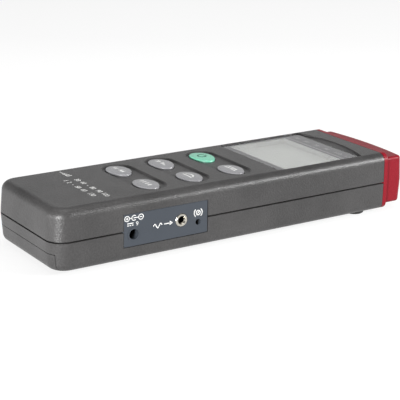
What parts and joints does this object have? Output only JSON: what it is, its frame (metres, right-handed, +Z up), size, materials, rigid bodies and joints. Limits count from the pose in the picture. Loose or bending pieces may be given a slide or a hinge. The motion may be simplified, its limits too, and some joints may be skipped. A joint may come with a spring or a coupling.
{
  "type": "sound level meter",
  "caption": "Hand-held sound level meter: moulded housing with display window, domed keys, connector panel, sliding battery cover and a front microphone behind a red end cap.",
  "frame": {"origin": "centre of the bounding box in plan, on the plane that the four rubber feet stand on", "axes": "+Z up out of the front face with the keys and display, +Y from the battery end to the microphone, +X to the connector panel side"},
  "size_m": [0.07, 0.248, 0.0359],
  "materials": {
    "housing_plastic": "fine moulded texture, dark warm grey",
    "cap_plastic": "fine moulded texture, red",
    "panel_plastic": "smooth satin, blue grey",
    "key_grey": "satin light grey",
    "key_green": "satin mint green",
    "black_rubber": "matt",
    "silicone": "matt silicone",
    "lens": "clear acrylic",
    "bezel_plastic": "light grey",
    "lcd": "grey liquid crystal cell",
    "diffuser": "milky light guide",
    "circuit_board": "green solder resist",
    "chip_plastic": "black moulded package",
    "plated_steel": "nickel plated",
    "screw_steel": "zinc plated",
    "brass": "turned",
    "black_plastic": "moulded black",
    "battery_jacket": "printed steel jacket",
    "microphone_metal": "black anodised",
    "foam": "closed cell foam",
    "trimmer_plastic": "blue moulded case",
    "capacitor_sleeve": "heat shrunk sleeve"
  },
  "bodies": {
    "housing": {"top_shell": "housing_plastic", "bottom_shell": "housing_plastic", "end_cap": "cap_plastic", "side_panel": "panel_plastic", "keypad_mat": "silicone", "display_lens": "lens", "lcd_bezel": "bezel_plastic", "lcd_glass": "lcd", "lcd_backlight": "diffuser", "contact_strips": "silicone", "main_board": "circuit_board", "preamp_board": "circuit_board", "main_chip": "chip_plastic", "amplifier_chips": "chip_plastic", "capacitors": "capacitor_sleeve", "quartz_crystal": "plated_steel", "amplifier_shield": "plated_steel", "preamp_header": "plated_steel", "dc_jack_body": "black_plastic", "dc_jack_pin": "plated_steel", "output_jack_body": "black_plastic", "output_jack_ferrule": "plated_steel", "trimmer_body": "trimmer_plastic", "battery": "battery_jacket", "battery_terminals": "plated_steel", "battery_foam_pad": "foam", "contact_plate": "black_plastic", "battery_contact_positive": "plated_steel", "battery_contact_negative": "plated_steel", "microphone_barrel": "microphone_metal", "microphone_collar": "black_plastic", "microphone_grid": "microphone_metal", "microphone_diaphragm": "plated_steel", "microphone_capsule": "plated_steel", "microphone_insulator": "bezel_plastic", "microphone_pin": "brass", "case_screws": "screw_steel", "board_screws": "screw_steel", "tripod_insert": "brass", "foot_near_left": "black_rubber", "foot_near_right": "black_rubber", "foot_far_left": "black_rubber", "foot_far_right": "black_rubber"},
    "key_power_body": {"key_power": "key_green"},
    "key_level_body": {"key_level": "key_grey"},
    "key_hold_body": {"key_hold": "key_grey"},
    "key_response_body": {"key_response": "key_grey"},
    "key_weighting_body": {"key_weighting": "key_grey"},
    "key_max_body": {"key_max": "key_grey"},
    "battery_cover_body": {"battery_cover": "housing_plastic"},
    "trimmer_rotor_body": {"trimmer_rotor": "brass"}
  },
  "joints": [
    {"name": "key_power_press", "type": "slide", "parent": "housing", "child": "key_power_body", "axis": [0, 0, -1], "range_m": [0, 0.0008], "stiffness_N_per_m": 1500, "springref_m": -0.0004},
    {"name": "key_level_press", "type": "slide", "parent": "housing", "child": "key_level_body", "axis": [0, 0, -1], "range_m": [0, 0.0008], "stiffness_N_per_m": 1500, "springref_m": -0.0004},
    {"name": "key_hold_press", "type": "slide", "parent": "housing", "child": "key_hold_body", "axis": [0, 0, -1], "range_m": [0, 0.0008], "stiffness_N_per_m": 1500, "springref_m": -0.0004},
    {"name": "key_response_press", "type": "slide", "parent": "housing", "child": "key_response_body", "axis": [0, 0, -1], "range_m": [0, 0.0008], "stiffness_N_per_m": 1500, "springref_m": -0.0004},
    {"name": "key_weighting_press", "type": "slide", "parent": "housing", "child": "key_weighting_body", "axis": [0, 0, -1], "range_m": [0, 0.0008], "stiffness_N_per_m": 1500, "springref_m": -0.0004},
    {"name": "key_max_press", "type": "slide", "parent": "housing", "child": "key_max_body", "axis": [0, 0, -1], "range_m": [0, 0.0008], "stiffness_N_per_m": 1500, "springref_m": -0.0004},
    {"name": "battery_cover_slide", "type": "slide", "parent": "housing", "child": "battery_cover_body", "axis": [0, -1, 0], "range_m": [0, 0.04]},
    {"name": "trimmer_turn", "type": "hinge", "parent": "housing", "child": "trimmer_rotor_body", "pos_m": [0.028, -0.0382, 0.0161], "axis": [1, 0, 0], "range_deg": [-135, 135]}
  ]
}
